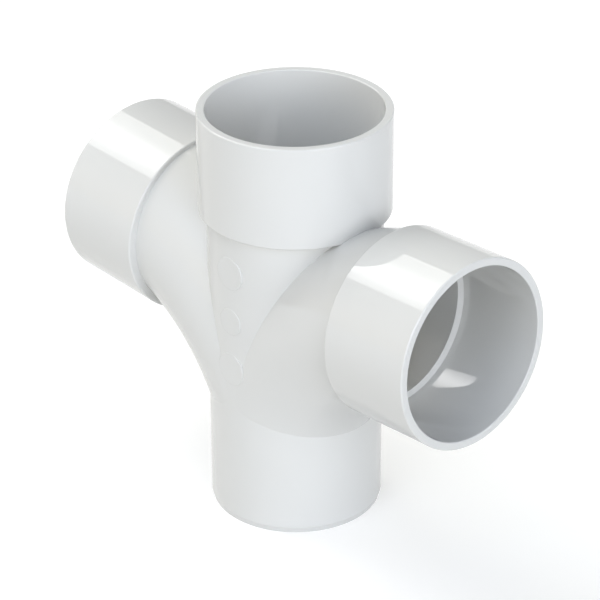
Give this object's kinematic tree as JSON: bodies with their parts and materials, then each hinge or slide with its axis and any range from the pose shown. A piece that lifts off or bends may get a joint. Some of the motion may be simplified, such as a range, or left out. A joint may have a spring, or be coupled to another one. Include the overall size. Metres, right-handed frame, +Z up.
{
  "type": "pipe cross",
  "caption": "Moulded drain pipe cross: an upright with a top socket and a plain spigot, and opposite branch sockets that leave it through swept bends.",
  "frame": {"origin": "centre of the spigot's end face, on the upright's axis", "axes": "+Z up the upright towards the top socket, +X along the right branch, -Y towards the side that carries the round pads"},
  "size_m": [0.3148, 0.1206, 0.272],
  "materials": {
    "body": "glossy moulded white PVC-U"
  },
  "bodies": {
    "root": {"cross_body": "body"}
  },
  "joints": []
}
